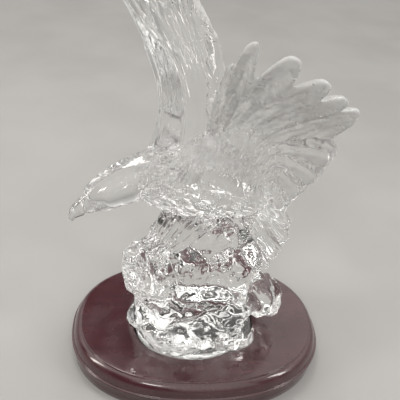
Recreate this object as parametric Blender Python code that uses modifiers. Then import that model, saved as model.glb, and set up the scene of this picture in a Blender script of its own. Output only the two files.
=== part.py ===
"""Clear glass eagle landing on a rock, cast as one solid, seated in an oval lacquered wood plinth.

Row frame: metres, +Z up, origin at the centre of the plinth's underside, long axis of the plinth along X.
Run with: blender --background --python part.py
"""

import math

import bmesh
import bpy
from mathutils import Matrix, Vector

MM = 0.001

# Plinth
PLINTH_LENGTH = 190 * MM
PLINTH_DEPTH = 140 * MM
PLINTH_HEIGHT = 24 * MM
OVAL_POWER = 2.3  # 2 is a true ellipse, more is squarer
LIP_HEIGHT = 13.5 * MM  # underside of the moulding down to the table
LIP_ROUND = 1.2 * MM
SIDE_INSET = 1.6 * MM  # the plain side stands back this far under the lip
MOULDING_WIDTH = 7.0 * MM
QUIRK_DEPTH = 1.0 * MM  # the small step between the flat top and the moulding
QUIRK_WIDTH = 0.8 * MM
MOULDING_STEPS = 5
OVAL_SEGMENTS = 60
SEAT_DEPTH = 3.0 * MM
SEAT_CLEARANCE = 1.6 * MM  # between the glass foot and the wall of its seat
TOUCH_GAP = 0.3 * MM

# Glass foot, which drops into the seat
FOOT_LENGTH = 88 * MM
FOOT_DEPTH = 74 * MM
FOOT_CENTRE = (-4 * MM, -3 * MM)
FOOT_RISE = 4 * MM  # how far the foot's straight wall stands above the plinth
FOOT_WAVE = 0.022  # unevenness of the foot's outline, as a share of its size

# Eagle and rock: every point below is in units of a figure that stands CARVED_HEIGHT tall above the plinth
GLASS_HEIGHT = 280 * MM
CARVED_HEIGHT = 280.0
UNIT = GLASS_HEIGHT / CARVED_HEIGHT
HEADING = math.radians(206)  # the beak points to the front left

# Casting: the forms are fused, softened and cut to a face budget
FUSE_VOXEL = 1.5 * MM
SOFTEN_PASSES = 3
FACE_SHARE = 0.062

# Body path, beak to tail root: forward, height above the plinth, radius
BODY_PATH = (
    (95.3, 124.6, 1.0),
    (95.2, 127.4, 2.7),
    (92.8, 130.2, 4.4),
    (88.8, 132.4, 5.7),
    (84.3, 134.3, 7.3),
    (78.0, 137.4, 10.3),
    (65.0, 141.0, 13.0),
    (50.0, 143.0, 15.0),
    (35.0, 138.5, 19.5),
    (17.0, 131.5, 23.6),
    (0.0, 126.5, 24.0),
    (-20.0, 114.5, 20.0),
    (-35.0, 104.0, 15.0),
    (-46.0, 96.0, 10.0),
)
BODY_FLATTEN = 0.94  # side to side share of the height

# A fan of feathers is one cupped sheet from a root line through a middle line to the feather tips.
# Points are forward, out to the left, height above the plinth; each line starts at the leading edge.
NEAR_WING = {
    "roots": ((25, 12, 142), (10, 18, 138), (-6, 18, 130), (-22, 14, 118), (-36, 8, 102)),
    "middles": ((25, 20, 172), (22, 40, 184), (2, 48, 172), (-16, 40, 152), (-34, 16, 112)),
    "tips": (
        (22, 22, 198), (25, 42, 226), (32, 66, 248), (20, 83, 245), (5, 90, 234), (-8, 91, 224),
        (-18, 92, 215), (-29, 73, 178), (-37, 58, 153), (-41, 42, 130), (-44, 28, 108), (-43, 14, 99),
    ),
    "notches": (0.23, 0.27, 0.20, 0.15, 0.12, 0.10, 0.12, 0.03, 0.04, 0.06, 0.04),
    "thickness": (15, 10, 7.5),
    "cup": -6,
}
FAR_WING = {
    "roots": ((32, -12, 146), (16, -18, 142), (0, -18, 134), (-18, -14, 120), (-32, -8, 106)),
    "middles": ((26, -27, 190), (14, -33, 192), (0, -34, 186), (-14, -32, 176), (-28, -24, 150)),
    "tips": (
        (36, -84, 242), (35, -97, 258), (27, -101, 271), (17, -96, 275), (8, -86, 270), (1, -74, 262),
        (-4, -62, 252), (-8, -50, 238), (-12, -42, 223), (-20, -40, 208), (-25, -33, 188), (-30, -22, 156),
    ),
    "notches": (0.13, 0.15, 0.14, 0.12, 0.10, 0.08, 0.06, 0.05, 0.04, 0.04, 0.04),
    "thickness": (17, 13, 7.5),
    "cup": 5,
}
TAIL = {
    "roots": ((-46, -4, 104), (-34, 6, 98), (-22, 14, 88)),
    "middles": ((-54, 2, 96), (-48, 12, 84), (-34, 18, 70)),
    "tips": ((-62, 6, 88), (-67, 11, 78), (-63, 16, 67), (-53, 19, 58), (-42, 22, 50)),
    "notches": (0.06, 0.06, 0.06, 0.06),
    "thickness": (16, 12, 7),
    "cup": -2,
}
FAN_COLUMNS = 8  # for each feather
FAN_ROWS = 20
NOTCH_POWER = 1.7  # more gives broader tips and narrower gaps
RIB = 0.30  # share of a feather's thickness that swells along its middle

# Legs, for the left side: forward, out, height and radius at the hip, knee and foot
LEG = ((9, 10, 112, 13.0), (20, 9, 100, 9.5), (32, 6, 85, 6.5))
TOES = 3
TOE_LENGTH = 13
TOE_RADIUS = 3.2
TOE_SPREAD = math.radians(34)

# Rock masses in the row frame: x, y, height above the plinth, half-sizes
ROCK_MASSES = (
    (-4, -3, 7, 44, 38, 20),
    (-8, -20, 40, 26, 14, 20),
    (-26, -14, 24, 21, 20, 24),
    (10, -20, 18, 25, 18, 20),
    (-36, -12, 57, 21, 20, 22),
    (-46, -14, 71, 10, 12, 9),
    (-10, -2, 58, 30, 28, 38),
    (-8, -2, 84, 27, 18, 18),
    (18, 2, 44, 24, 24, 28),
    (44, -6, 28, 17, 18, 16),
    (24, 2, 66, 18, 18, 18),
    (13, 5, 82, 17, 17, 21),
)
LUMP_SIZE = 0.09  # how far the rock's surface swells, as a share of each mass
LUMP_WAVES = (2.3, 3.1, 2.7)


def clear_scene():
    for old in list(bpy.data.objects):
        bpy.data.objects.remove(old)


def new_collection(name, hidden=False):
    made = bpy.data.collections.new(name)
    bpy.context.scene.collection.children.link(made)
    made.hide_render = hidden
    return made


def surface(name, colour, roughness, transmission=0.0):
    made = bpy.data.materials.new(name)
    made.use_nodes = True
    shader = made.node_tree.nodes["Principled BSDF"]
    shader.inputs["Base Color"].default_value = (*colour, 1)
    shader.inputs["Roughness"].default_value = roughness
    shader.inputs["Metallic"].default_value = 0
    shader.inputs["Transmission Weight"].default_value = transmission
    return made


def oval(half_length, half_depth, centre=(0, 0)):
    """Points round a superellipse, anticlockwise."""
    points = []
    for step in range(OVAL_SEGMENTS):
        angle = math.tau * step / OVAL_SEGMENTS
        c, s = math.cos(angle), math.sin(angle)
        x = half_length * math.copysign(abs(c) ** (2 / OVAL_POWER), c)
        y = half_depth * math.copysign(abs(s) ** (2 / OVAL_POWER), s)
        points.append((centre[0] + x, centre[1] + y))
    return points


def skin_rings(name, rings, collection):
    """A closed solid through a list of (outline, height) rings, capped at both ends."""
    bm = bmesh.new()
    loops = [[bm.verts.new((x, y, z)) for x, y in outline] for outline, z in rings]
    for lower, upper in zip(loops, loops[1:]):
        for i, corner in enumerate(lower):
            j = (i + 1) % len(lower)
            bm.faces.new((corner, lower[j], upper[j], upper[i]))
    bm.faces.new(loops[0])
    bm.faces.new(loops[-1])
    bmesh.ops.recalc_face_normals(bm, faces=bm.faces)
    return object_from(bm, name, collection)


def object_from(bm, name, collection):
    mesh = bpy.data.meshes.new(name)
    bm.to_mesh(mesh)
    bm.free()
    made = bpy.data.objects.new(name, mesh)
    collection.objects.link(made)
    return made


def foot_outline(clearance):
    """The foot's uneven outline, pushed outward by clearance."""
    points = []
    for x, y in oval(FOOT_LENGTH / 2 + clearance, FOOT_DEPTH / 2 + clearance):
        turn = math.atan2(y, x)
        swell = 1 + FOOT_WAVE * (math.sin(3 * turn + 0.6) + 0.7 * math.sin(5 * turn + 2.2))
        points.append((FOOT_CENTRE[0] + x * swell, FOOT_CENTRE[1] + y * swell))
    return points


def make_plinth(collection):
    """The oval plinth: plain side, rounded lip, swept moulding, quirk, flat top and the seat for the glass."""

    def ring(inset, height):
        return oval(PLINTH_LENGTH / 2 - inset, PLINTH_DEPTH / 2 - inset), height

    moulding_top = PLINTH_HEIGHT - QUIRK_DEPTH
    rings = [ring(SIDE_INSET, 0), ring(SIDE_INSET, LIP_HEIGHT - LIP_ROUND)]
    rings += [ring(LIP_ROUND * 0.3, LIP_HEIGHT - LIP_ROUND), ring(0, LIP_HEIGHT - LIP_ROUND * 0.5)]
    rings += [ring(LIP_ROUND * 0.3, LIP_HEIGHT), ring(LIP_ROUND, LIP_HEIGHT + LIP_ROUND * 0.2)]
    rise = moulding_top - LIP_HEIGHT - LIP_ROUND * 0.2
    for step in range(1, MOULDING_STEPS + 1):
        turn = math.pi / 2 * step / MOULDING_STEPS
        inset = LIP_ROUND + (MOULDING_WIDTH - LIP_ROUND) * (1 - math.cos(turn))
        rings.append(ring(inset, LIP_HEIGHT + LIP_ROUND * 0.2 + rise * math.sin(turn)))
    rings += [ring(MOULDING_WIDTH + QUIRK_WIDTH * 0.2, PLINTH_HEIGHT - QUIRK_DEPTH * 0.1)]
    rings += [ring(MOULDING_WIDTH + QUIRK_WIDTH, PLINTH_HEIGHT)]
    rings += [(foot_outline(SEAT_CLEARANCE), PLINTH_HEIGHT)]
    rings += [(foot_outline(SEAT_CLEARANCE), PLINTH_HEIGHT - SEAT_DEPTH)]
    plinth = skin_rings("wood_plinth", rings, collection)
    plinth.data.set_sharp_from_angle(angle=math.radians(35))
    plinth.data.materials.append(surface("lacquered_wood", (0.09, 0.012, 0.018), 0.12))
    return plinth


def on_curve(points, share):
    """The point at that share of a smooth Catmull-Rom curve through the points."""
    place = share * (len(points) - 1)
    index = min(int(place), len(points) - 2)
    t = place - index
    near = [Vector(points[min(max(index + k, 0), len(points) - 1)]) for k in (-1, 0, 1, 2)]
    a, b, c, d = near
    return 0.5 * (2 * b + (c - a) * t + (2 * a - 5 * b + 4 * c - d) * t**2 + (3 * b - a - 3 * c + d) * t**3)


def add_form(forms, shape, centre, half_sizes):
    """One ellipsoid-like form from a sphere primitive; shape(unit point) may bend it before it is placed."""
    made = bmesh.ops.create_uvsphere(forms, u_segments=24, v_segments=16, radius=1)
    for vert in made["verts"]:
        point = shape(vert.co.copy())
        vert.co = Vector(centre) + Vector(a * b for a, b in zip(point, half_sizes))


def add_fan(forms, fan):
    """A fan of feathers as one closed sheet: scalloped at the tips, ribbed along each feather, cupped."""
    feathers = len(fan["tips"]) - 1
    columns = FAN_COLUMNS * feathers
    grid = []
    for i in range(columns + 1):
        s = i / columns
        root, middle, tip = (on_curve(fan[line], s) for line in ("roots", "middles", "tips"))
        phase = s * feathers
        valley = (0.5 - 0.5 * math.cos(math.tau * phase)) ** NOTCH_POWER
        notch = fan["notches"][min(int(phase), feathers - 1)] * valley
        rib = 1 - RIB * (0.5 - 0.5 * math.cos(math.tau * phase))
        line = []
        for j in range(FAN_ROWS + 1):
            t = j / FAN_ROWS
            reach = t * (1 - notch * t)
            place = on_curve((root, middle, tip), reach)
            thick = on_curve([(w, 0, 0) for w in fan["thickness"]], t)[0] * (1 + (rib - 1) * t)
            end = max(0.0, (t - 0.85) / 0.15)
            side = max(0.0, (abs(2 * s - 1) - 0.94) / 0.06)
            thick *= math.sqrt(max(1 - end * end, 0.08)) * math.sqrt(max(1 - side * side, 0.08))
            line.append((place, thick, fan["cup"] * math.sin(math.pi * t)))
        grid.append(line)
    faces = []
    for i, line in enumerate(grid):
        for j, (place, thick, cup) in enumerate(line):
            across = grid[min(i + 2, columns)][j][0] - grid[max(i - 2, 0)][j][0]
            along = line[min(j + 1, FAN_ROWS)][0] - line[max(j - 1, 0)][0]
            normal = across.cross(along).normalized()
            faces.append((place + normal * (cup + thick / 2), place + normal * (cup - thick / 2)))
    front = [[forms.verts.new(faces[i * (FAN_ROWS + 1) + j][0]) for j in range(FAN_ROWS + 1)] for i in range(columns + 1)]
    back = [[forms.verts.new(faces[i * (FAN_ROWS + 1) + j][1]) for j in range(FAN_ROWS + 1)] for i in range(columns + 1)]
    for i in range(columns):
        for j in range(FAN_ROWS):
            forms.faces.new((front[i][j], front[i + 1][j], front[i + 1][j + 1], front[i][j + 1]))
            forms.faces.new((back[i][j], back[i][j + 1], back[i + 1][j + 1], back[i + 1][j]))
        for j in (0, FAN_ROWS):
            forms.faces.new((front[i][j], back[i][j], back[i + 1][j], front[i + 1][j]))
    for j in range(FAN_ROWS):
        for i in (0, columns):
            forms.faces.new((front[i][j], front[i][j + 1], back[i][j + 1], back[i][j]))


def add_tube(forms, path):
    """Overlapping balls blended along a path of (x, y, z, radius): a limb that tapers smoothly."""
    steps = 5 * (len(path) - 1)
    for step in range(steps + 1):
        x, y, z, radius = on_curve_4(path, step / steps)
        add_form(forms, lambda p: p, (x, y, z), (radius, radius, radius))


def on_curve_4(path, share):
    place = on_curve([p[:3] for p in path], share)
    radius = on_curve([(p[3], 0, 0) for p in path], share)[0]
    return (*place, radius)


def add_body(forms):
    """Head, neck and body: round sections carried along the body path."""
    steps = 60
    sections = 24
    rings = []
    for step in range(steps + 1):
        forward, height, radius = on_curve(BODY_PATH, step / steps)
        ahead = on_curve(BODY_PATH, min(step / steps + 0.01, 1)) - on_curve(BODY_PATH, max(step / steps - 0.01, 0))
        tilt = math.atan2(ahead[1], ahead[0])
        ring = []
        for k in range(sections):
            turn = math.tau * k / sections
            rise = radius * math.sin(turn)
            side = radius * BODY_FLATTEN * math.cos(turn)
            ring.append(forms.verts.new((forward - rise * math.sin(tilt), side, height + rise * math.cos(tilt))))
        rings.append(ring)
    for first, second in zip(rings, rings[1:]):
        for k in range(sections):
            n = (k + 1) % sections
            forms.faces.new((first[k], first[n], second[n], second[k]))
    forms.faces.new(rings[0])
    forms.faces.new(rings[-1])


def add_legs(forms):
    """Feathered thighs and clenched toes on both sides."""
    for side in (1, -1):
        path = [(x, side * y, z, r) for x, y, z, r in LEG]
        add_tube(forms, path)
        foot = Vector(path[-1][:3])
        for k in range(TOES):
            turn = TOE_SPREAD * (k - (TOES - 1) / 2)
            reach = Vector((math.cos(turn), math.sin(turn), -0.45)) * TOE_LENGTH
            add_tube(forms, [(*foot, TOE_RADIUS), (*(foot + reach), TOE_RADIUS * 0.6)])


def lumpy(seed):
    """A unit sphere's points pushed in and out by smooth waves, for the rock."""

    def shape(p):
        a, b, c = (w * v + seed for w, v in zip(LUMP_WAVES, p))
        return p * (1 + LUMP_SIZE * (math.sin(a * 2 + b) + math.sin(b * 2 - c) + math.sin(c * 2 + a)))

    return shape


def add_rock(forms):
    """The rock's masses in the row frame, pressed flat just above the plinth, and the foot in its seat."""
    for k, (x, y, z, *half) in enumerate(ROCK_MASSES):
        add_form(forms, lumpy(1.7 * k), (x, y, z), half)
    lowest = 2 * TOUCH_GAP / UNIT
    for vert in forms.verts:
        vert.co.z = max(vert.co.z, lowest)


def join_forms(name, collection, build, placing):
    """Builds forms in their own bmesh and moves them to the row frame by the placing matrix."""
    forms = bmesh.new()
    build(forms)
    bmesh.ops.transform(forms, matrix=placing, verts=forms.verts)
    bmesh.ops.recalc_face_normals(forms, faces=forms.faces)
    return object_from(forms, name, collection)


def add_eagle(forms):
    add_body(forms)
    for fan in (NEAR_WING, FAR_WING, TAIL):
        add_fan(forms, fan)
    add_legs(forms)


def make_glass(collection, helpers):
    """The eagle, the rock and the foot fused into one casting."""
    on_plinth = Matrix.Translation((0, 0, PLINTH_HEIGHT)) @ Matrix.Scale(UNIT, 4)
    glass = join_forms("crystal_eagle", collection, add_rock, on_plinth)
    eagle = join_forms("eagle_forms", helpers, add_eagle, on_plinth @ Matrix.Rotation(HEADING, 4, "Z"))
    bottom = PLINTH_HEIGHT - SEAT_DEPTH + TOUCH_GAP
    foot = skin_rings(
        "foot_form",
        [(foot_outline(0), bottom - 3 * FUSE_VOXEL), (foot_outline(0), PLINTH_HEIGHT + FOOT_RISE)],
        helpers,
    )
    merged = bmesh.new()
    for part in (glass, eagle, foot):
        merged.from_mesh(part.data)
    merged.to_mesh(glass.data)
    merged.free()
    for part in (eagle, foot):
        bpy.data.objects.remove(part)

    fuse = glass.modifiers.new("fuse", "REMESH")
    fuse.mode = "VOXEL"
    fuse.voxel_size = FUSE_VOXEL
    soften = glass.modifiers.new("soften", "SMOOTH")
    soften.factor = 0.5
    soften.iterations = SOFTEN_PASSES
    lighten = glass.modifiers.new("lighten", "DECIMATE")
    lighten.ratio = FACE_SHARE
    flat = skin_rings(
        "foot_cutter",
        [(foot_outline(20 * MM), bottom - 20 * MM), (foot_outline(20 * MM), bottom)],
        helpers,
    )
    flat.hide_render = True
    flat.display_type = "WIRE"
    level = glass.modifiers.new("level", "BOOLEAN")
    level.operation = "DIFFERENCE"
    level.object = flat
    glass.data.materials.append(surface("clear_glass", (1, 1, 1), 0.02, transmission=1))
    return glass


def main():
    clear_scene()
    parts = new_collection("crystal_eagle_sculpture")
    helpers = new_collection("cutters", hidden=True)
    make_plinth(parts)
    make_glass(parts, helpers)


if __name__ == "__main__":
    main()
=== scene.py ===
"""Looks of the clear glass eagle on its lacquered oval plinth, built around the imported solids.

Every size is in millimetres in the row frame unless a name says otherwise, and meshes are written in metres.
The bird's own points are forward, out to its left, and height above the plinth.
"""

from __future__ import annotations

import logging
import math
from dataclasses import dataclass, field
from enum import Enum
from typing import Sequence, Union

import bpy
import numpy as np
from mathutils import Matrix, Vector

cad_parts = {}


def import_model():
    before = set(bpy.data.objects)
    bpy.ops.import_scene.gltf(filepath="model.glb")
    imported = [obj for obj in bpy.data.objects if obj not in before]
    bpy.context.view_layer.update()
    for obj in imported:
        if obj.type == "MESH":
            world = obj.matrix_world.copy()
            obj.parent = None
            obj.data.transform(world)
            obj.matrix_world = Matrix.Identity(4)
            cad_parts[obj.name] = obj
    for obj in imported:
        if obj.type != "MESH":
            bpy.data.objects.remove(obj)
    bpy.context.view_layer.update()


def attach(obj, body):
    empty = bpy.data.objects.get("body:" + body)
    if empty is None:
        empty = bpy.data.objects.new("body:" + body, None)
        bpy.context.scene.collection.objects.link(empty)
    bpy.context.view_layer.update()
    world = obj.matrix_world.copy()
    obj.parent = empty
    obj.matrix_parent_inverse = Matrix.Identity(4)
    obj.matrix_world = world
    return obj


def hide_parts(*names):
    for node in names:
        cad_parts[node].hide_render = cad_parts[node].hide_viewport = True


LOG = logging.getLogger("glass_eagle")
MM = 0.001
Array = np.ndarray
Points = Sequence[Sequence[float]]


def smooth(low: float, high: float, value: Array) -> Array:
    """Eases from 0 at low to 1 at high along a cubic.

    Args:
        low: Where the rise starts.
        high: Where it ends; it may be less than low for a fall.
        value: What is measured.

    Returns:
        The eased share, from 0 to 1.
    """
    share = np.clip((value - low) / (high - low), 0.0, 1.0)
    return share * share * (3.0 - 2.0 * share)


def bell(value: Array, width: float) -> Array:
    """A bump of height 1 at 0 that fades over width, as exp of minus the square."""
    return np.exp(-((value / width) ** 2))


def catmull_rom(a: Array, b: Array, c: Array, d: Array, t: Array) -> Array:
    """The curve from b to c that heads from a and towards d, at t from 0 to 1."""
    return 0.5 * (2 * b + (c - a) * t + (2 * a - 5 * b + 4 * c - d) * t**2 + (3 * b - a - 3 * c + d) * t**3)


def along(points: Points, share: Array) -> Array:
    """Points on a smooth Catmull-Rom curve through the given ones.

    Args:
        points: Control points, one row each.
        share: Places along the curve from 0 to 1, in any array shape.

    Returns:
        The curve's points, with one more axis than share.
    """
    rows = np.asarray(points, dtype=float)
    place = np.clip(share, 0.0, 1.0) * (len(rows) - 1)
    index = np.minimum(place.astype(int), len(rows) - 2)
    t = (place - index)[..., None]
    a, b = rows[np.maximum(index - 1, 0)], rows[index]
    c, d = rows[index + 1], rows[np.minimum(index + 2, len(rows) - 1)]
    return catmull_rom(a, b, c, d, t)


def unit(vectors: Array) -> Array:
    """The same vectors at length 1."""
    return vectors / np.maximum(np.linalg.norm(vectors, axis=-1, keepdims=True), 1e-9)


class Glass(Enum):
    """Which glass finish a surface takes; the value is its material slot in the casting."""

    CLEAR = 0
    FEATHER = 1
    ROCK = 2
    PRIMARY = 3
    FAR_TIP = 4


@dataclass(frozen=True)
class BirdPlace:
    """Where the bird stands: its heading and the height of the plinth under it."""

    heading: float = math.radians(206)
    plinth_height: float = 24.0

    def to_row(self, points: Array) -> Array:
        """Turns bird points to row points by the heading, and lifts them onto the plinth."""
        c, s = math.cos(self.heading), math.sin(self.heading)
        x = points[..., 0] * c - points[..., 1] * s
        y = points[..., 0] * s + points[..., 1] * c
        return np.stack((x, y, points[..., 2] + self.plinth_height), axis=-1)


@dataclass
class Skin:
    """A closed surface on a grid: rings of points along a length.

    Attributes:
        points: Rows by ring points by 3, in row-frame millimetres.
        finish: The glass finish of all its faces.
        pattern: Rows by ring points by 2, the surface's own pattern coordinates.
        zipped: Whether an end's ring is a flat slit that closes on itself; otherwise it closes on a centre.
    """

    points: Array
    finish: Glass
    pattern: Array
    zipped: bool = False

    def faces(self) -> tuple[Array, list[Array]]:
        """Lists the quads between rings and the faces that close both ends.

        Returns:
            The quads as rows of four indices, and the end faces.
        """
        rows, ring = self.points.shape[:2]
        index = np.arange(rows * ring).reshape(rows, ring)
        turned = np.roll(index, -1, axis=1)
        quads = np.stack((index[:-1], turned[:-1], turned[1:], index[1:]), axis=-1).reshape(-1, 4)
        ends: list[Array] = []
        for row, flip in ((0, True), (rows - 1, False)):
            if self.zipped:
                half = ring // 2
                front, back = index[row, :half], index[row, half:][::-1]
                strip = np.stack((front[:-1], front[1:], back[1:], back[:-1]), axis=-1)
            else:
                centre = rows * ring + (0 if flip else 1)
                strip = np.stack((index[row], turned[row], np.full(ring, centre)), axis=-1)
            ends.append(strip[:, ::-1] if flip else strip)
        return quads, ends

    def to_object(self, name: str) -> bpy.types.Object:
        """Writes the surface to a mesh object in metres, facing outwards.

        Args:
            name: The object's name.

        Returns:
            The object, not yet linked to a collection.
        """
        quads, ends = self.faces()
        vertices = self.points.reshape(-1, 3)
        pattern = self.pattern.reshape(-1, 2)
        if not self.zipped:
            vertices = np.concatenate((vertices, self.points[[0, -1]].mean(axis=1)))
            pattern = np.concatenate((pattern, self.pattern[[0, -1]].mean(axis=1)))
        triangles = np.concatenate([quads[:, [0, 1, 2]], quads[:, [0, 2, 3]]])
        a, b, c = (vertices[triangles[:, k]] for k in range(3))
        if np.einsum("ij,ij->i", a, np.cross(b, c)).sum() < 0:
            quads, ends = quads[:, ::-1], [end[:, ::-1] for end in ends]
        mesh = bpy.data.meshes.new(name)
        faces = quads.tolist() + [face for end in ends for face in end.tolist()]
        mesh.from_pydata((vertices * MM).tolist(), [], faces)
        layer = mesh.uv_layers.new(name="pattern")
        corner = np.empty(len(mesh.loops), dtype=np.int32)
        mesh.loops.foreach_get("vertex_index", corner)
        layer.data.foreach_set("uv", pattern[corner].astype(np.float32).ravel())
        fill_slot(mesh, self.finish)
        mesh.update()
        return bpy.data.objects.new(name, mesh)


@dataclass
class FeatherFan:
    """A cupped sheet of feathers from a root line through a middle line to the feather tips.

    Attributes:
        name: The sheet's name.
        roots: Root line, leading edge first.
        middles: Middle line.
        tips: One point for each feather's tip.
        notches: Depth of the gap after each feather, as a share of its length.
        thickness: Glass thickness at the root, the middle and the tip.
        cup: How far the sheet bows, in its own normal's direction.
        columns: Grid columns for each feather.
        rows: Grid rows from root to tip.
        finish: The glass finish.
        flutes: Depth of the slot pressed in each finger's face.
        rim: Extra thickness of the rounded leading edge.
        step: Height of the ledge where the coverts end, and its place at the leading and trailing edge.
        shaft: Height of the shaft ridge along each feather.
        groove: Depth of the groove between feathers.
        open_at: Where the feathers part, from the root, at the leading and trailing edge.
        coverts: Height of the small overlapping feathers near the root, and where they end.
        beads: Height of the row of small ovals pressed near the trailing edge.
        pebble: Depth of the soft hammered surface on the outer feathers.
        comb: Height of the fine lines along the feathers, and how many run along each.
        notch_power: How narrow the gaps between tips are.
        rib: How much thinner the glass is between feathers, as a share.
    """

    name: str
    roots: Points
    middles: Points
    tips: Points
    notches: Sequence[float]
    thickness: Sequence[float]
    cup: float
    columns: int = 14
    rows: int = 84
    finish: Glass = Glass.FEATHER
    flutes: Sequence[float] = ()
    rim: float = 0.0
    step: tuple[float, float, float] = (0.0, 0.7, 0.9)
    shaft: float = 0.7
    groove: float = 1.1
    open_at: tuple[float, float] = (0.2, 0.2)
    coverts: tuple[float, float] = (0.0, 0.4)
    beads: float = 0.0
    pebble: float = 0.0
    comb: tuple[float, int] = (0.0, 3)
    notch_power: float = 1.7
    rib: float = 0.30

    def spine(self, s: Array, reach: Array) -> Array:
        """The sheet's middle surface: a smooth curve from root to tip, for each column."""
        lines = (self.roots, self.middles, self.tips)
        root, middle, tip = (along(line, s)[:, None, :] for line in lines)
        place = reach * 2.0
        first = (place < 1.0)[..., None]
        t = np.where(place < 1.0, place, place - 1.0)[..., None]
        a, b = root, np.where(first, root, middle)
        c, d = np.where(first, middle, tip), tip
        return catmull_rom(a, b, c, d, t)

    def relief(self, s: Array, t: Array, front: bool) -> Array:
        """Height of the carving on one face, in millimetres.

        Each part of it is a bell, a sine or an eased step of the two parameters.

        Args:
            s: Place across the fan, from the leading edge.
            t: Place from root to tip.
            front: Whether this is the face that the normal points from.

        Returns:
            The height above the plain sheet.
        """
        feathers = len(self.tips) - 1
        phase = s * feathers
        aside = phase - np.round(phase)
        opening = self.open_at[0] + (self.open_at[1] - self.open_at[0]) * s
        spread = smooth(-0.06, 0.12, t - opening)
        height = self.shaft * bell(aside, 0.07) * spread * (1 - smooth(0.9, 1.0, t))
        height = height - self.groove * bell(np.abs(aside) - 0.5, 0.09) * spread
        if self.flutes and front:
            depth = np.asarray(self.flutes)[np.round(phase).astype(int)]
            height = height - depth * bell(aside, 0.17) * smooth(0.66, 0.74, t) * (1 - smooth(0.88, 0.94, t))
        height = height + self.rim * bell(s - 0.045, 0.035) - 0.5 * self.rim * bell(s - 0.13, 0.03)
        lengthwise = t * 9.0
        aslant = 0.5 * np.mod(np.floor(lengthwise), 2) + phase
        tile = np.mod(lengthwise + 0.5 * (2 * np.abs(np.mod(aslant, 1.0) - 0.5)) ** 2, 1.0)
        size, finish = self.coverts
        covered = smooth(0.0, 0.1, t) * (1 - smooth(finish - 0.05, finish + 0.05, t))
        height = height + size * (tile**1.6 - 0.4) * covered
        beaded = smooth(0.2, 0.3, t) * (1 - smooth(0.62, 0.7, t))
        oval = np.sin(math.pi * np.mod(t * 13.0, 1.0)) ** 0.7 * beaded
        height = height + self.beads * bell(s - 0.66 - 0.03 * np.sin(t * 30.0), 0.022) * oval
        hammer = np.sin(phase * 4.3 + 2.0 * np.sin(t * 17.0)) * np.sin(t * 34.0 + 1.7 * np.sin(phase * 2.9))
        height = height + self.pebble * hammer * smooth(0.4, 0.5, t) * (1 - smooth(0.8, 0.95, t))
        lines, count = self.comb
        combed = spread * (1 - smooth(0.9, 1.0, t))
        height = height + lines * np.sin(math.tau * count * phase + 2.0 * t) * combed
        ledge, leading, trailing = self.step
        edge = leading + (trailing - leading) * s + 0.012 * np.abs(aside)
        return height + ledge * (1 - smooth(-0.008, 0.008, t - edge))

    def build(self, place: BirdPlace) -> bpy.types.Object:
        """Makes the closed sheet.

        Args:
            place: Where the bird stands.

        Returns:
            The sheet's object.
        """
        feathers = len(self.tips) - 1
        s = np.linspace(0.0, 1.0, self.columns * feathers + 1)
        t = 1.0 - (1.0 - np.linspace(0.0, 1.0, self.rows + 1)) ** 1.15
        grid_s, grid_t = s[:, None] + 0 * t, t[None, :] + 0 * s[:, None]
        phase = grid_s * feathers
        valley = (0.5 - 0.5 * np.cos(math.tau * phase)) ** self.notch_power
        notch = np.asarray(self.notches)[np.minimum(phase.astype(int), feathers - 1)] * valley
        middle = self.spine(s, grid_t * (1 - notch * grid_t))
        across = np.gradient(middle, axis=0)
        down = np.gradient(middle, axis=1)
        normal = unit(np.cross(across, down))
        thick = along([(w,) for w in self.thickness], grid_t)[..., 0]
        opening = self.open_at[0] + (self.open_at[1] - self.open_at[0]) * grid_s
        parted = grid_t * smooth(-0.15, 0.2, grid_t - opening)
        thick = thick * (1 - self.rib * (0.5 - 0.5 * np.cos(math.tau * phase)) * parted)
        end = np.clip((grid_t - 0.86) / 0.14, 0.0, 1.0)
        side = np.clip((np.abs(2 * grid_s - 1) - 0.95) / 0.05, 0.0, 1.0)
        taper = np.sqrt(np.maximum(1 - end**2.4, 0.012)) * np.sqrt(np.maximum(1 - side**2, 0.012))
        bow = self.cup * np.sin(math.pi * grid_t)
        upper = middle + normal * (bow + (thick / 2 + self.relief(grid_s, grid_t, True)) * taper)[..., None]
        lower = middle + normal * (bow - (thick / 2 + self.relief(grid_s, grid_t, False)) * taper)[..., None]
        loop = np.concatenate((upper, lower[::-1])).transpose(1, 0, 2)
        marks = np.stack((phase, grid_t), axis=-1)
        pattern = np.concatenate((marks, marks[::-1])).transpose(1, 0, 2)
        return Skin(place.to_row(loop), self.finish, pattern, zipped=True).to_object(self.name)


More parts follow.
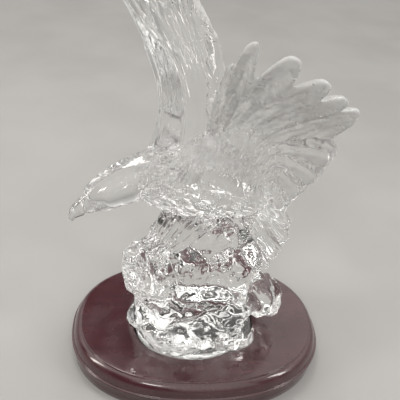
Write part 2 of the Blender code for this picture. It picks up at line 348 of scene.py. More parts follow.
@dataclass
class Body:
    """Head, neck and body: round sections along a path, with the feather coat in relief.

    Attributes:
        path: Forward, height and radius, beak to tail root.
        flatten: Side to side share of the section's height.
        rows: Sections along the path.
        ring: Points round each section.
        coat: Depth of the overlapping feathers.
        feather: Length and width of one feather of the coat.
        girth: The body's radius where a ring of feathers is counted.
    """

    path: Points = (
        (95.3, 124.6, 1.0), (95.2, 127.4, 2.7), (92.8, 130.2, 4.4), (88.8, 132.4, 5.7),
        (84.3, 134.3, 7.3),
        (78.0, 137.4, 10.3), (65.0, 141.0, 13.0), (50.0, 143.0, 15.0), (35.0, 138.5, 19.5),
        (17.0, 131.5, 23.6), (0.0, 126.5, 24.0), (-20.0, 114.5, 20.0), (-35.0, 104.0, 15.0),
        (-46.0, 96.0, 10.0),
    )
    flatten: float = 0.94
    rows: int = 176
    ring: int = 112
    coat: float = 1.9
    feather: tuple[float, float] = (16.0, 11.0)
    girth: float = 24.0

    def build(self, place: BirdPlace) -> bpy.types.Object:
        """Makes the body's closed surface.

        Sections are circles across the path; the coat is a saw-tooth along the path whose edge bends back
        round each feather, so the feathers overlap like tiles.

        Args:
            place: Where the bird stands.

        Returns:
            The body's object.
        """
        share = np.linspace(0.0, 1.0, self.rows)
        path = along(self.path, share)
        slope = np.gradient(path[:, :2], axis=0)
        length = np.concatenate(([0.0], np.cumsum(np.linalg.norm(np.diff(path[:, :2], axis=0), axis=1))))
        tilt = np.arctan2(slope[:, 1], slope[:, 0])
        turn = np.linspace(0.0, math.tau, self.ring, endpoint=False)
        run = length[:, None] + 0 * turn
        radius = path[:, 2:3]
        bare = smooth(42.0, 62.0, run + 5 * np.cos(turn))
        lengthwise = run / self.feather[0]
        each_ring = np.round(self.girth * math.tau / self.feather[1])
        around = each_ring * turn / math.tau + 0.5 * np.mod(np.floor(lengthwise), 2)
        bend = 0.55 * (2 * np.abs(np.mod(around, 1.0) - 0.5)) ** 2
        tile = np.mod(lengthwise + bend, 1.0)
        coat = self.coat * bare * (tile**1.6 - 0.4)
        upward, outward = np.sin(turn), np.cos(turn)
        aside = np.abs(np.mod(turn + math.pi / 2, math.tau) - math.pi)
        brow = 1.1 * bell(run - 24.0, 9.0) * bell(aside - 0.36, 0.13)
        socket = -0.9 * bell(run - 22.0, 4.5) * bell(aside - 0.66, 0.2)
        mouth = -0.6 * bell(upward + 0.12, 0.08) * (1 - smooth(16.0, 21.0, run)) * smooth(2.0, 5.0, run)
        cere = -0.5 * bell(run - 12.5 + 2.0 * upward, 1.1) * smooth(-0.2, 0.2, upward)
        swollen = radius + coat + brow + socket + mouth + cere
        rise = swollen * upward
        side = swollen * self.flatten * outward * (1 - 0.22 * (1 - smooth(8.0, 22.0, run)))
        forward = path[:, 0:1] - rise * np.sin(tilt)[:, None]
        height = path[:, 1:2] + rise * np.cos(tilt)[:, None]
        points = np.stack((forward, side + 0 * forward, height), axis=-1)
        pattern = np.stack((around + 0 * run, run / 10.0), axis=-1)
        return Skin(place.to_row(points), Glass.CLEAR, pattern).to_object("body")


@dataclass
class Limb:
    """A round limb that tapers along a path, with fine ridges along or across it.

    Attributes:
        name: The limb's name.
        path: Forward, out, height and radius at each point.
        rows: Sections along it.
        ring: Points round each section.
        ridge: Height of the ridges.
        count: How many ridges run round the limb.
        twist: Turns that the ridges make along the limb.
        flat: Share of the radius across the section's second direction.
    """

    name: str
    path: Points
    rows: int = 46
    ring: int = 72
    ridge: float = 0.0
    count: int = 16
    twist: float = 0.0
    flat: float = 1.0

    def build(self, place: BirdPlace) -> bpy.types.Object:
        """Makes the limb: circles carried along the path on a steady frame, with rounded ends.

        Args:
            place: Where the bird stands.

        Returns:
            The limb's object.
        """
        share = np.linspace(0.0, 1.0, self.rows)
        path = along(self.path, share)
        ahead = unit(np.gradient(path[:, :3], axis=0))
        mean = unit(path[-1, :3] - path[0, :3])
        side = unit(np.cross(ahead, np.roll(mean, 1) + 0.3))
        up = np.cross(side, ahead)
        turn = np.linspace(0.0, math.tau, self.ring, endpoint=False)
        cap = np.sqrt(np.clip(1 - np.clip(np.abs(2 * share - 1) - 0.8, 0, 1) ** 2 / 0.04, 0.02, 1))[:, None]
        ridges = self.ridge * np.sin(self.count * turn + math.tau * self.twist * share[:, None])
        radius = (path[:, 3:4] + ridges) * cap
        points = (
            path[:, None, :3]
            + side[:, None, :] * (radius * np.cos(turn))[..., None]
            + up[:, None, :] * (radius * self.flat * np.sin(turn))[..., None]
        )
        pattern = np.stack((turn * self.count / math.tau + 0 * radius, share[:, None] + 0 * turn), axis=-1)
        return Skin(place.to_row(points), Glass.CLEAR, pattern).to_object(self.name)


@dataclass
class Rock:
    """The glass rock: masses fused and softened, then scooped into shell-like hollows.

    Attributes:
        masses: Centre and half-sizes of each mass in the row frame, heights above the plinth.
        voxel: Grid size at which the masses fuse.
        hollows: Size, depth and seed of each layer of hollows.
        lowest: The lowest height above the plinth.
        swell: Depth of the waves on each mass, as a share of its size.
        waves: How fast the waves run along each axis.
    """

    masses: Points = (
        (-4, -3, 7, 44, 38, 20), (-8, -20, 40, 26, 14, 20), (-26, -14, 24, 21, 20, 24),
        (10, -20, 18, 25, 18, 20), (-36, -12, 57, 21, 20, 22), (-46, -14, 71, 10, 12, 9),
        (-10, -2, 58, 30, 28, 38), (-8, -2, 84, 27, 18, 18), (18, 2, 44, 24, 24, 28),
        (44, -6, 28, 17, 18, 16), (24, 2, 66, 18, 18, 18), (13, 5, 82, 17, 17, 21),
    )
    voxel: float = 1.45
    hollows: Sequence[tuple[float, float, int]] = ((19.0, 2.3, 3), (9.0, 0.9, 8))
    lowest: float = 0.6
    swell: float = 0.09
    waves: tuple[float, float, float] = (2.3, 3.1, 2.7)

    def mass(self, k: int, place: BirdPlace) -> Skin:
        """One mass: a ball stretched to its half-sizes and pushed in and out by three sine waves."""
        x, y, z, *half = self.masses[k]
        rise = np.linspace(0.03, math.pi - 0.03, 26)[:, None]
        turn = np.linspace(0.0, math.tau, 40, endpoint=False)
        level, upright = np.sin(rise), np.cos(rise) + 0 * turn
        ball = np.stack((level * np.cos(turn), level * np.sin(turn), upright), axis=-1)
        a, b, c = (w * ball[..., i] + 1.7 * k for i, w in enumerate(self.waves))
        push = 1 + self.swell * (np.sin(2 * a + b) + np.sin(2 * b - c) + np.sin(2 * c + a))
        points = np.array((x, y, z)) + ball * push[..., None] * np.array(half)
        points[..., 2] = np.maximum(points[..., 2], self.lowest) + place.plinth_height
        return Skin(points, Glass.ROCK, points[..., :2] / 20)

    def scoop(self, points: Array, normals: Array, place: BirdPlace) -> Array:
        """Presses shell-like hollows: each point moves in by its nearness to the closest of many centres.

        The centres lie on a jittered cubic lattice, and the distance is squared, so each hollow is a round bowl
        and ridges stand where two bowls meet.

        Args:
            points: Row-frame points in millimetres.
            normals: Their outward normals.
            place: Where the plinth's top is.

        Returns:
            The moved points.
        """
        moved = points.copy()
        for size, depth, seed in self.hollows:
            chance = np.random.default_rng(seed)
            sides = [np.arange(lo, hi, size) for lo, hi in ((-75, 80), (-60, 55), (20, 140))]
            lattice = np.stack(np.meshgrid(*sides, indexing="ij"), axis=-1).reshape(-1, 3)
            centres = lattice + chance.uniform(-0.45, 0.45, lattice.shape) * size
            warped = points + 0.22 * size * np.sin(points[:, [1, 2, 0]] * (4.2 / size) + seed)
            nearest = np.full(len(points), 1e9)
            for centre in centres:
                nearest = np.minimum(nearest, ((warped - centre) ** 2).sum(axis=1))
            bowl = np.minimum(nearest / (0.62 * size) ** 2, 1.0)
            calm = smooth(0.0, 8.0, points[:, 2] - place.plinth_height - self.lowest)
            moved = moved + normals * (depth * (bowl - 0.62) * calm)[:, None]
        moved[:, 2] = np.maximum(moved[:, 2], place.plinth_height + self.lowest)
        return moved

    def build(self, place: BirdPlace) -> bpy.types.Object:
        """Fuses the masses and scoops them.

        Args:
            place: Where the bird stands.

        Returns:
            The rock's object.
        """
        lumps = [self.mass(k, place).to_object(f"mass_{k}") for k in range(len(self.masses))]
        rock = join(lumps, "rock")
        fuse = rock.modifiers.new("fuse", "REMESH")
        fuse.mode, fuse.voxel_size = "VOXEL", self.voxel * MM
        soften = rock.modifiers.new("soften", "SMOOTH")
        soften.factor, soften.iterations = 0.5, 5
        settle(rock)
        mesh = rock.data
        points, normals = read_points(mesh)
        write_points(mesh, self.scoop(points, normals, place))
        fill_slot(mesh, Glass.ROCK)
        return rock


@dataclass
class Foot:
    """The straight-walled foot that drops into the plinth's seat.

    Attributes:
        length: Size along the row's X.
        depth: Size along the row's Y.
        centre: Its middle.
        wave: Unevenness of its outline, as a share of its size.
        power: Squareness of the outline; 2 is an ellipse.
        bottom: Height of its underside in the row frame.
        top: Height of its upper edge.
    """

    length: float = 88.0
    depth: float = 74.0
    centre: tuple[float, float] = (-4.0, -3.0)
    wave: float = 0.022
    power: float = 2.3
    bottom: float = 21.3
    top: float = 28.0

    def outline(self, clearance: float, count: int = 240) -> Array:
        """The foot's outline pushed out by clearance: a superellipse that swells by two sine waves."""
        turn = np.linspace(0.0, math.tau, count, endpoint=False)
        c, s = np.cos(turn), np.sin(turn)
        x = (self.length / 2 + clearance) * np.sign(c) * np.abs(c) ** (2 / self.power)
        y = (self.depth / 2 + clearance) * np.sign(s) * np.abs(s) ** (2 / self.power)
        angle = np.arctan2(y, x)
        swell = 1 + self.wave * (np.sin(3 * angle + 0.6) + 0.7 * np.sin(5 * angle + 2.2))
        return np.stack((self.centre[0] + x * swell, self.centre[1] + y * swell), axis=-1)

    def build(self) -> bpy.types.Object:
        """Makes the foot: its outline at several heights, drawn in at the top edge."""
        profile = ((-0.4, self.bottom), (0.0, self.bottom + 0.5), (0.0, 25.0), (-0.8, 26.6), (-3.5, self.top))
        rings = [np.column_stack((self.outline(inset, 160), np.full(160, z))) for inset, z in profile]
        points = np.stack(rings)
        return Skin(points, Glass.ROCK, points[..., :2] / 20).to_object("foot")


def join(pieces: Sequence[bpy.types.Object], name: str) -> bpy.types.Object:
    """Puts several meshes in one object, still as separate shells.

    Args:
        pieces: The objects, which are removed.
        name: The new object's name.

    Returns:
        The joined object.
    """
    vertices: list[Array] = []
    faces: list[list[int]] = []
    start = 0
    for piece in pieces:
        points, _ = read_points(piece.data)
        vertices.append(points * MM)
        faces += [[start + i for i in polygon.vertices] for polygon in piece.data.polygons]
        start += len(points)
        bpy.data.objects.remove(piece)
    mesh = bpy.data.meshes.new(name)
    mesh.from_pydata(np.concatenate(vertices).tolist(), [], faces)
    return bpy.data.objects.new(name, mesh)


def read_points(mesh: bpy.types.Mesh) -> tuple[Array, Array]:
    """A mesh's points in millimetres and their outward normals."""
    points = np.empty(len(mesh.vertices) * 3, dtype=np.float32)
    normals = np.empty(len(mesh.vertices) * 3, dtype=np.float32)
    mesh.vertices.foreach_get("co", points)
    mesh.vertex_normals.foreach_get("vector", normals)
    return points.reshape(-1, 3).astype(float) / MM, normals.reshape(-1, 3).astype(float)


def write_points(mesh: bpy.types.Mesh, points: Array) -> None:
    """Writes points in millimetres back to a mesh."""
    mesh.vertices.foreach_set("co", (points * MM).astype(np.float32).ravel())
    mesh.update()


def fill_slot(mesh: bpy.types.Mesh, finish: Glass) -> None:
    """Gives every face of a mesh one finish and smooth shading."""
    mesh.polygons.foreach_set("material_index", np.full(len(mesh.polygons), finish.value, dtype=np.int32))
    mesh.polygons.foreach_set("use_smooth", np.ones(len(mesh.polygons), dtype=bool))


def settle(piece: bpy.types.Object) -> None:
    """Applies a piece's modifiers to its mesh."""
    linked = piece.name in bpy.context.scene.collection.objects
    if not linked:
        bpy.context.scene.collection.objects.link(piece)
    bpy.context.view_layer.update()
    finished = bpy.data.meshes.new_from_object(piece.evaluated_get(bpy.context.evaluated_depsgraph_get()))
    piece.modifiers.clear()
    piece.data = finished
    if not linked:
        bpy.context.scene.collection.objects.unlink(piece)


Value = Union["Wire", float, int]


class Wire:
    """A shader socket that adds Math nodes when it is used in an expression."""

    def __init__(self, bench: "Bench", socket: bpy.types.NodeSocket) -> None:
        """Wraps a socket.

        Args:
            bench: The material that the socket belongs to.
            socket: The output socket.
        """
        self.bench = bench
        self.socket = socket

    def math(self, operation: str, *values: Value) -> "Wire":
        """One Math node of the given operation on the values."""
        node = self.bench.node("ShaderNodeMath", {"operation": operation}, dict(enumerate(values)))
        return Wire(self.bench, node.outputs[0])

    def __add__(self, other: Value) -> "Wire":
        """This plus other."""
        return self.math("ADD", self, other)

    __radd__ = __add__

    def __sub__(self, other: Value) -> "Wire":
        """This minus other."""
        return self.math("SUBTRACT", self, other)

    def __rsub__(self, other: Value) -> "Wire":
        """Other minus this."""
        return self.math("SUBTRACT", other, self)

    def __mul__(self, other: Value) -> "Wire":
        """This times other."""
        return self.math("MULTIPLY", self, other)

    __rmul__ = __mul__

    def __truediv__(self, other: Value) -> "Wire":
        """This over other."""
        return self.math("DIVIDE", self, other)

    def __abs__(self) -> "Wire":
        """Its size without sign."""
        return self.math("ABSOLUTE", self)

    def wave(self) -> "Wire":
        """Its sine."""
        return self.math("SINE", self)

    def part(self) -> "Wire":
        """Its fraction after the whole number."""
        return self.math("FRACT", self)

    def ease(self, low: float, high: float, start: float = 0.0, end: float = 1.0) -> "Wire":
        """Eases from start at low to end at high."""
        settings = {"interpolation_type": "SMOOTHSTEP"}
        values = {"Value": self, "From Min": low, "From Max": high, "To Min": start, "To Max": end}
        return Wire(self.bench, self.bench.node("ShaderNodeMapRange", settings, values).outputs[0])


class Bench:
    """Makes the nodes of one material, or of the world."""

    def __init__(self, name: str, world: bool = False) -> None:
        """Starts with no nodes.

        Args:
            name: The material's or the world's name.
            world: Whether it is the world.
        """
        self.material = bpy.data.worlds.new(name) if world else bpy.data.materials.new(name)
        self.material.use_nodes = True
        self.tree = self.material.node_tree
        self.tree.nodes.clear()
        self.output = "ShaderNodeOutputWorld" if world else "ShaderNodeOutputMaterial"

    def node(self, kind: str, settings: dict | None = None, sockets: dict | None = None) -> bpy.types.Node:
        """Adds a node.

        Args:
            kind: The node's type.
            settings: Its own settings, set first; a ramp's stops come as "stops".
            sockets: Values or wires for its input sockets, by name or number.

        Returns:
            The node.
        """
        made = self.tree.nodes.new(kind)
        for key, value in (settings or {}).items():
            if key == "stops":
                ramp = made.color_ramp
                while len(ramp.elements) < len(value):
                    ramp.elements.new(0.5)
                for element, (position, colour) in zip(ramp.elements, value):
                    element.position, element.color = position, (*colour, 1.0)
            else:
                setattr(made, key, value)
        for key, value in (sockets or {}).items():
            if isinstance(value, Wire):
                self.tree.links.new(value.socket, made.inputs[key])
            else:
                made.inputs[key].default_value = value
        return made

    def wire(
        self, kind: str, settings: dict | None = None, sockets: dict | None = None, out: int | str = 0
    ) -> Wire:
        """Adds a node and wraps one of its outputs."""
        return Wire(self, self.node(kind, settings, sockets).outputs[out])

    def place(self) -> Wire:
        """The object's own coordinates, in metres."""
        return self.wire("ShaderNodeTexCoord", out="Object")

    def noise(self, size: float, detail: float = 2.0, stretch: Sequence[float] = (1, 1, 1)) -> Wire:
        """Soft noise whose features are about size millimetres across, stretched along each axis."""
        where = self.wire("ShaderNodeMapping", None, {"Vector": self.place(), "Scale": stretch})
        values = {"Vector": where, "Scale": 1.0 / (size * MM), "Detail": detail}
        return self.wire("ShaderNodeTexNoise", None, values)

    def blend(self, share: Value, first: Sequence[float], second: Sequence[float]) -> Wire:
        """A colour that goes from the first to the second as share goes from 0 to 1."""
        colours = {0: share, 6: (*first, 1), 7: (*second, 1)}
        return self.wire("ShaderNodeMix", {"data_type": "RGBA"}, colours, 2)

    def finish(self, shader: Wire) -> bpy.types.Material | bpy.types.World:
        """Sends a shader to the output and returns the material or the world."""
        self.node(self.output, None, {"Surface": shader})
        return self.material


@dataclass(frozen=True)
class CastGlass:
    """Clear lead glass with a hand-cast surface.

    Attributes:
        name: The material's name.
        ripple: Depth of the soft waviness, in millimetres.
        ripple_size: Its size, in millimetres.
        barbs: Depth of the fine lines that follow the feathers.
        satin: Where the satin starts from the root, how much later for each feather after the first, and the
            feather at which it ends; none for glass that is clear all over.
        index: Index of refraction.
    """

    name: str
    ripple: float = 0.10
    ripple_size: float = 9.0
    barbs: float = 0.0
    satin: tuple[float, float, float] | None = None
    index: float = 1.52

    def make(self) -> bpy.types.Material:
        """Makes the material: clear glass, mixed with satin glass by the fan's own coordinates.

        Returns:
            The material.
        """
        bench = Bench(self.name)
        height = bench.noise(self.ripple_size, 1.5) * self.ripple
        across = along_feather = None
        if self.barbs:
            marks = bench.wire("ShaderNodeUVMap", {"uv_map": "pattern"})
            split = bench.node("ShaderNodeSeparateXYZ", None, {0: marks})
            across, along_feather = Wire(bench, split.outputs[0]), Wire(bench, split.outputs[1])
            aside = abs((across + 0.5).part() - 0.5)
            lines = (along_feather * 205.0 - aside * 22.0).wave()
            height = height + lines * self.barbs
        bump = {"Height": height, "Distance": MM, "Strength": 1.0}
        normal = bench.wire("ShaderNodeBump", None, bump)
        tone = bench.noise(30.0).ease(0.3, 0.7)
        colour = bench.blend(tone, (0.97, 0.985, 0.985), (0.995, 1.0, 0.998))
        gloss = bench.noise(5.0).ease(0.35, 0.75, 0.0, 0.035)
        clear = bench.wire(
            "ShaderNodeBsdfPrincipled",
            None,
            {
                "Base Color": colour, "Roughness": gloss, "IOR": self.index, "Transmission Weight": 1.0,
                "Normal": normal,
            },
        )
        if self.satin is None or across is None or along_feather is None:
            return bench.finish(clear)
        cloud = bench.noise(6.0, 3.0).ease(0.3, 0.7, 0.24, 0.40)
        milk = bench.blend(tone, (0.80, 0.80, 0.79), (0.88, 0.89, 0.89))
        satin = bench.wire(
            "ShaderNodeBsdfPrincipled",
            None,
            {
                "Base Color": milk, "Roughness": cloud, "IOR": self.index, "Transmission Weight": 0.50,
                "Normal": normal,
            },
        )
        start, slant, last = self.satin
        begun = (along_feather - across * slant).ease(start - 0.02, start + 0.05)
        mask = begun * (1 - across.ease(last, last + 0.5))
        streak = bench.noise(7.0, 3.0).ease(0.25, 0.7, 0.30, 0.75)
        share = mask * (streak + (1 - streak) * 0.6 * along_feather.ease(0.80, 0.93))
        return bench.finish(bench.wire("ShaderNodeMixShader", None, {0: share, 1: clear, 2: satin}))


@dataclass(frozen=True)
class Lacquer:
    """Dark cherry lacquer over wood, with a faint grain.

    Attributes:
        name: The material's name.
        dark: Colour in the grain.
        light: Colour between the grain.
    """

    name: str = "cherry_lacquer"
    dark: tuple[float, float, float] = (0.040, 0.009, 0.013)
    light: tuple[float, float, float] = (0.062, 0.015, 0.020)

    def make(self) -> bpy.types.Material:
        """Makes the material: stretched noise for the grain under a clear coat with fine orange peel.

        Returns:
            The material.
        """
        bench = Bench(self.name)
        grain = bench.noise(4.0, 5.0, (0.12, 1.0, 1.0)).ease(0.3, 0.72)
        broad = bench.noise(45.0, 2.0).ease(0.3, 0.7)
        tone = grain * 0.7 + broad * 0.3
        colour = bench.blend(tone, self.dark, self.light)
        smear = bench.noise(14.0, 3.0).ease(0.3, 0.75, 0.20, 0.34)
        peel = bench.noise(1.6, 1.0) * 0.012 + bench.noise(8.0, 1.0) * 0.05
        normal = bench.wire("ShaderNodeBump", None, {"Height": peel, "Distance": MM, "Strength": 1.0})
        coat = bench.noise(20.0).ease(0.2, 0.8, 0.75, 1.0)
        return bench.finish(
            bench.wire(
                "ShaderNodeBsdfPrincipled",
                None,
                {
                    "Base Color": colour, "Roughness": smear, "Normal": normal, "Coat Weight": coat,
                    "Coat Roughness": 0.06, "Coat IOR": 1.5, "IOR": 1.5,
                },
            )
        )


@dataclass(frozen=True)
class SeatPaintedShade:
    """Near-black painted shade in the routed seat under the glass."""

    name: str = "seat_painted_shade"

    def make(self) -> bpy.types.Material:
        """Makes the material: near-black painted shade with a soft mottle.

        Returns:
            The material.
        """
        bench = Bench(self.name)
        # The seat's shade is painted into the base colour as near-black.
        mottle = bench.noise(3.0, 4.0)
        surface_inputs = {
            "Base Color": bench.blend(mottle, (0.008, 0.006, 0.007), (0.025, 0.016, 0.016)),
            "Roughness": mottle.ease(0.2, 0.8, 0.35, 0.6),
        }
        return bench.finish(bench.wire("ShaderNodeBsdfPrincipled", None, surface_inputs))


@dataclass
class GlassEagle:
    """The whole casting: bird, rock and foot united into one closed piece of glass."""

    place: BirdPlace = field(default_factory=BirdPlace)
    near_wing: FeatherFan = field(default_factory=lambda: FeatherFan(
        name="near_wing",
        roots=((25, 12, 142), (10, 18, 138), (-6, 18, 130), (-22, 14, 118), (-36, 8, 102)),
        middles=((25, 21, 176), (20, 40, 189), (3, 50, 180), (-16, 42, 156), (-34, 17, 113)),
        tips=(
            (22, 22, 198), (25, 42, 226), (32, 66, 248), (20, 83, 245), (5, 90, 234), (-8, 91, 224),
            (-18, 92, 215), (-29, 73, 178), (-37, 58, 153), (-41, 42, 130), (-44, 28, 108), (-43, 14, 99),
        ),
        notches=(0.23, 0.27, 0.20, 0.15, 0.12, 0.10, 0.12, 0.03, 0.04, 0.06, 0.04),
        thickness=(13, 9, 6.5),
        cup=-6,
        finish=Glass.PRIMARY,
        flutes=(0.6, 1.2, 2.6, 2.6, 1.2, 1.0, 0.8, 0, 0, 0, 0, 0),
        shaft=0.55,
        groove=1.0,
        open_at=(0.72, 0.12),
        coverts=(0.6, 0.38),
        pebble=0.5,
        comb=(0.12, 2),
    ))
    far_wing: FeatherFan = field(default_factory=lambda: FeatherFan(
        name="far_wing",
        roots=((32, -12, 146), (16, -18, 142), (0, -18, 134), (-18, -14, 120), (-32, -8, 106)),
        middles=((26, -27, 190), (14, -33, 192), (0, -34, 186), (-14, -32, 176), (-28, -24, 150)),
        tips=(
            (36, -84, 242), (35, -97, 258), (27, -101, 271), (17, -96, 275), (8, -86, 270),
            (1, -74, 262), (-4, -62, 252), (-8, -50, 238), (-12, -42, 223), (-20, -40, 208),
            (-25, -33, 188), (-30, -22, 156),
        ),
        notches=(0.13, 0.15, 0.14, 0.12, 0.10, 0.08, 0.06, 0.05, 0.04, 0.04, 0.04),
        thickness=(16, 12, 6.5),
        cup=5,
        columns=10,
        rows=76,
        finish=Glass.FAR_TIP,
        rim=1.8,
        step=(2.4, 0.66, 0.90),
        shaft=0.4,
        groove=0.6,
        open_at=(0.70, 0.92),
        beads=1.4,
        pebble=0.1,
    ))
    tail: FeatherFan = field(default_factory=lambda: FeatherFan(
        name="tail",
        roots=((-46, -4, 104), (-34, 6, 98), (-22, 14, 88)),
        middles=((-54, 2, 96), (-48, 12, 84), (-34, 18, 70)),
        tips=((-62, 6, 88), (-67, 11, 78), (-63, 16, 67), (-53, 19, 58), (-42, 22, 50)),
        notches=(0.06, 0.06, 0.06, 0.06),
        thickness=(15, 11, 6.5),
        cup=-2,
        columns=16,
        rows=50,
        shaft=0.3,
        groove=1.0,
        comb=(0.5, 3),
        open_at=(-0.1, -0.1),
    ))
    body: Body = field(default_factory=Body)
    rock: Rock = field(default_factory=Rock)
    foot: Foot = field(default_factory=Foot)
    leg: Points = ((9, 10, 112, 13.0), (20, 9, 100, 9.5), (32, 6, 85, 6.5))
    toe_length: float = 13.0
    toe_radius: float = 3.2
    toe_spread: float = math.radians(34)

    def legs(self) -> list[Limb]:
        """The feathered thighs and the toes, on both sides."""
        limbs: list[Limb] = []
        for side in (1, -1):
            path = [(x, side * y, z, r) for x, y, z, r in self.leg]
            limbs.append(Limb(f"thigh_{side}", path, ridge=0.55, count=17, twist=0.35))
            foot = np.array(path[-1][:3], dtype=float)
            for k in range(3):
                turn = self.toe_spread * (k - 1)
                reach = np.array((math.cos(turn), math.sin(turn), -0.45)) * self.toe_length
                middle = foot + reach * 0.5 + np.array((0, 0, 1.2))
                thick, thin = self.toe_radius, 0.6 * self.toe_radius
                toe = ((*foot, thick), (*middle, thick), (*(foot + reach), thin))
                limbs.append(Limb(f"toe_{side}_{k}", toe, rows=20, ring=24))
        return limbs

    def arm(self) -> Limb:
        """The hatched upper arm along the near wing's leading edge."""
        path = ((27, 13, 146, 9.5), (29, 22, 163, 9.0), (25, 32, 179, 6.0))
        return Limb("near_arm", path, rows=46, ring=96, ridge=0.65, count=20, twist=1.6, flat=0.85)

    def eye(self, side: int) -> Limb:
        """A small bead for the eye, set in the side of the head."""
        beads = ((78.6, 4.6, 142.6, 1.9), (79.0, 5.6, 143.8, 1.9), (79.3, 6.4, 144.8, 1.5))
        path = [(x, side * y, z, r) for x, y, z, r in beads]
        return Limb(f"eye_{side}", path, rows=14, ring=24)

    def build(self) -> bpy.types.Object:
        """Builds every form and unites them.

        Returns:
            The casting.
        """
        forms = [fan.build(self.place) for fan in (self.near_wing, self.far_wing, self.tail)]
        forms += [limb.build(self.place) for limb in (*self.legs(), self.arm(), self.eye(1), self.eye(-1))]
        forms += [self.rock.build(self.place), self.foot.build()]
        casting = self.body.build(self.place)
        casting.name = "eagle_casting"
        finishes = self.finishes()
        for form in (casting, *forms):
            for finish in finishes:
                form.data.materials.append(finish)
        for form in forms:
            bpy.context.scene.collection.objects.link(form)
            unite = casting.modifiers.new(form.name, "BOOLEAN")
            unite.operation, unite.solver, unite.object = "UNION", "MANIFOLD", form
        settle(casting)
        for form in forms:
            bpy.data.objects.remove(form)
        casting.data.name = casting.name
        return casting

    def finishes(self) -> list[bpy.types.Material]:
        """Makes the glass finishes in the order of their slots."""
        glass = {
            Glass.CLEAR: CastGlass("clear_glass", ripple=0.12, ripple_size=10.0),
            Glass.FEATHER: CastGlass("feather_glass", barbs=0.02),
            Glass.ROCK: CastGlass("rock_glass", ripple=0.25, ripple_size=7.0),
            Glass.PRIMARY: CastGlass("satin_feather_glass", barbs=0.01, satin=(0.50, 0.0, 6.0)),
            Glass.FAR_TIP: CastGlass(
                "satin_tip_glass", ripple=0.2, ripple_size=14.0, barbs=0.01, satin=(0.80, 0.010, 12.0)
            ),
        }
        return [glass[finish].make() for finish in sorted(glass, key=lambda item: item.value)]

    def dress(self, casting: bpy.types.Object) -> None:
        """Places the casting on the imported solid.

        Args:
            casting: The united glass.
        """
        casting.data.set_sharp_from_angle(angle=math.radians(50))
        bpy.context.scene.collection.objects.link(casting)
        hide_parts("crystal_eagle")
        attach(casting, "root")


@dataclass
class Plinth:
    """The oval plinth: plain side, thin lip, swept moulding, quirk, flat top and the routed seat.

    Attributes:
        length: Size along X at the lip.
        depth: Size along Y at the lip.
        height: Height of the flat top.
        power: Squareness of the oval; 2 is an ellipse.
        seat_depth: Depth of the routed seat.
        clearance: Gap between the glass foot and the seat's wall.
        segments: Points round each outline.
        profile: Inset from the lip and height of each point of the moulding, from the underside up.
    """

    length: float = 190.0
    depth: float = 140.0
    height: float = 24.0
    power: float = 2.3
    seat_depth: float = 3.0
    clearance: float = 1.6
    segments: int = 288
    profile: Points = (
        (4.0, 0.0), (1.7, 0.0), (1.6, 0.15), (1.6, 5.0), (1.6, 11.4), (1.5, 12.0), (0.9, 12.2),
        (0.35, 12.4), (0.0, 12.9), (0.05, 13.3), (0.4, 13.6), (1.0, 13.75), (1.35, 13.9),
        (1.45, 14.2), (1.6, 15.4), (2.0, 17.1), (2.7, 18.9), (3.6, 20.4), (4.7, 21.6), (5.9, 22.5),
        (6.8, 22.85), (7.1, 22.95), (7.2, 23.15), (7.25, 23.7), (7.5, 23.95), (8.0, 24.0),
    )

    def oval(self, inset: Array) -> Array:
        """Superellipse outlines, one for each inset from the lip.

        Args:
            inset: How far in from the lip each outline lies.

        Returns:
            Insets by segments by 2.
        """
        turn = np.linspace(0.0, math.tau, self.segments, endpoint=False)
        c, s = np.cos(turn), np.sin(turn)
        x = (self.length / 2 - inset)[:, None] * np.sign(c) * np.abs(c) ** (2 / self.power)
        y = (self.depth / 2 - inset)[:, None] * np.sign(s) * np.abs(s) ** (2 / self.power)
        return np.stack((x, y), axis=-1)

    def build(self, foot: Foot) -> bpy.types.Object:
        """Makes the plinth: its profile carried round the oval, then in across the top to the seat.

        Args:
            foot: The glass foot that the seat follows.

        Returns:
            The plinth's object.
        """
        rows = np.asarray(self.profile, dtype=float)
        outer = np.dstack((self.oval(rows[:, 0]), np.broadcast_to(rows[:, 1:2], (len(rows), self.segments))))
        wall = ((0.5, 0.0), (0.12, 0.12), (0.0, 0.5), (0.0, 2.6), (-0.3, self.seat_depth))
        rings = [
            np.column_stack(
                (foot.outline(self.clearance + out, self.segments), np.full(self.segments, self.height - down))
            )
            for out, down in wall
        ]
        inner = np.stack(rings)
        steps = np.linspace(0.0, 1.0, 8)[1:-1, None, None]
        top = outer[-1] + (inner[0] - outer[-1]) * steps
        points = np.concatenate((outer, top, inner))
        plinth = Skin(points, Glass.CLEAR, points[..., :2] / 20).to_object("oval_plinth")
        mesh = plinth.data
        centres = np.empty(len(mesh.polygons) * 3, dtype=np.float32)
        mesh.polygons.foreach_get("center", centres)
        spot = centres.reshape(-1, 3) / MM
        share = np.abs(spot[:, :2]) / (self.length / 2, self.depth / 2)
        within = (share**self.power).sum(axis=1) < 0.6
        deep = within & (spot[:, 2] < self.height - 0.2) & (spot[:, 2] > self.height - 2 * self.seat_depth)
        # Faces in the seat take slot 1, the near-black painted shade.
        mesh.polygons.foreach_set("material_index", deep.astype(np.int32))
        mesh.set_sharp_from_angle(angle=math.radians(50))
        return plinth

    def dress(self, plinth: bpy.types.Object) -> None:
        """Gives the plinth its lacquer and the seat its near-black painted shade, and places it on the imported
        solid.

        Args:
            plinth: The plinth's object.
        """
        plinth.data.materials.append(Lacquer().make())
        # Slot 1 is the seat's painted shade.
        plinth.data.materials.append(SeatPaintedShade().make())
        bpy.context.scene.collection.objects.link(plinth)
        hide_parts("wood_plinth")
        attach(plinth, "root")


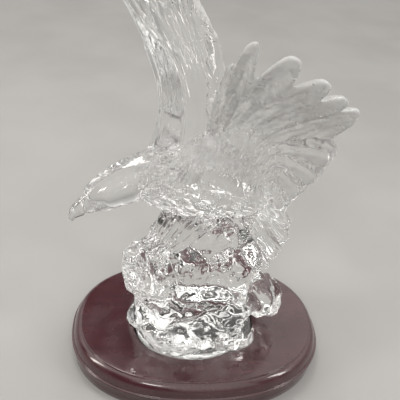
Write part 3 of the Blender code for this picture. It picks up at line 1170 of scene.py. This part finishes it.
@dataclass
class Studio:
    """Pale floor, soft lights and the camera.

    Attributes:
        eye: The camera's place in millimetres.
        right: Its right-hand direction.
        up: Its upward direction.
        ahead: The direction in which it looks.
        lens: Its focal length on a 36 mm frame.
    """

    eye: tuple[float, float, float] = (-52.9, -324.9, 365.5)
    right: tuple[float, float, float] = (0.9930, -0.0886, 0.0776)
    up: tuple[float, float, float] = (-0.0118, 0.5807, 0.8140)
    ahead: tuple[float, float, float] = (0.1172, 0.8093, -0.5756)
    lens: float = 54.0

    def camera(self) -> None:
        """Places the camera at the photograph's viewing angle."""
        data = bpy.data.cameras.new("camera")
        data.lens, data.sensor_width, data.clip_start = self.lens, 36.0, 0.01
        camera = bpy.data.objects.new("camera", data)
        axes = Matrix((self.right, self.up, tuple(-a for a in self.ahead))).transposed()
        camera.matrix_world = Matrix.Translation(Vector(self.eye) * MM) @ axes.to_4x4()
        bpy.context.scene.collection.objects.link(camera)
        bpy.context.scene.camera = camera

    def floor(self) -> None:
        """A plain pale floor: rings of points whose radius grows outwards, closed at the middle."""
        radius = np.geomspace(0.05, 9.0, 12)[:, None]
        turn = np.linspace(0.0, math.tau, 64, endpoint=False)
        points = np.stack((radius * np.cos(turn), radius * np.sin(turn), 0 * (radius + turn)), axis=-1)
        index = np.arange(12 * 64).reshape(12, 64)
        turned = np.roll(index, -1, axis=1)
        quads = np.stack((index[:-1], index[1:], turned[1:], turned[:-1]), axis=-1).reshape(-1, 4)
        mesh = bpy.data.meshes.new("floor")
        mesh.from_pydata(points.reshape(-1, 3).tolist(), [], quads.tolist() + [index[0].tolist()])
        floor = bpy.data.objects.new("floor", mesh)
        bench = Bench("pale_floor")
        tone = bench.noise(120.0).ease(0.3, 0.7)
        surface_inputs = {"Base Color": bench.blend(tone, (0.34, 0.335, 0.33), (0.37, 0.365, 0.36)), "Roughness": 0.8}
        mesh.materials.append(bench.finish(bench.wire("ShaderNodeBsdfPrincipled", None, surface_inputs)))
        bpy.context.scene.collection.objects.link(floor)

    def sky(self) -> None:
        """The soft studio surround: dim at the horizon, bright overhead, with darker panels round it."""
        bench = Bench("studio", world=True)
        split = bench.node("ShaderNodeSeparateXYZ", None, {0: bench.wire("ShaderNodeTexCoord", out="Generated")})
        x, y, z = (Wire(bench, split.outputs[k]) for k in range(3))
        rise = z.ease(0.02, 0.62, 0.42, 1.25)
        band = z.ease(0.08, 0.2) * (1 - z.ease(0.75, 0.9))
        strength = rise * (1 - (x * 5.1 + y * 3.3).wave().ease(0.1, 0.6) * 0.93 * band)
        back = bench.wire("ShaderNodeBackground", None, {"Color": (1.0, 0.975, 0.94, 1), "Strength": strength})
        bpy.context.scene.world = bench.finish(back)

    def light(
        self,
        name: str,
        place: Sequence[float],
        size: tuple[float, float],
        power: float,
        colour: tuple[float, float, float],
        target: Sequence[float] = (0, 0, 0.12),
    ) -> None:
        """A rectangular soft light.

        Args:
            name: Its name.
            place: Where it hangs, in metres.
            size: Its width and height.
            power: Its power in watts.
            colour: Its colour.
            target: What it points at.
        """
        data = bpy.data.lights.new(name, "AREA")
        data.shape, data.size, data.size_y = "RECTANGLE", *size
        data.energy, data.color = power, colour
        lamp = bpy.data.objects.new(name, data)
        aim = Vector(target) - Vector(place)
        lamp.matrix_world = Matrix.Translation(Vector(place)) @ aim.to_track_quat("-Z", "Y").to_matrix().to_4x4()
        bpy.context.scene.collection.objects.link(lamp)

    def build(self) -> None:
        """Sets the floor, the world, the lights and the camera."""
        self.camera()
        self.floor()
        self.sky()
        self.light("top", (-0.15, 0.30, 1.0), (0.35, 0.2), 3.0, (1.0, 0.97, 0.93), target=(0, 0, 0.1))
        self.light("left", (-0.8, -0.1, 0.6), (0.12, 0.5), 3.0, (1.0, 0.95, 0.88))
        self.light("right", (0.75, -0.45, 0.6), (0.12, 0.5), 2.5, (1.0, 0.97, 0.94))
        self.light("front", (-0.35, -0.85, 0.9), (0.25, 0.18), 2.0, (1.0, 0.97, 0.93))
        cycles = bpy.context.scene.cycles
        cycles.max_bounces, cycles.transmission_bounces, cycles.glossy_bounces = 20, 20, 8
        bpy.context.scene.view_settings.view_transform = "Standard"


def main() -> None:
    """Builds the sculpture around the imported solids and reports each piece."""
    logging.basicConfig(level=logging.INFO, format="%(name)s: %(message)s")
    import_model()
    eagle = GlassEagle()
    casting = eagle.build()
    eagle.dress(casting)
    LOG.info("glass casting: %d faces", len(casting.data.polygons))
    plinth = Plinth()
    base = plinth.build(eagle.foot)
    plinth.dress(base)
    LOG.info("plinth: %d faces", len(base.data.polygons))
    Studio().build()


if __name__ == "__main__":
    main()
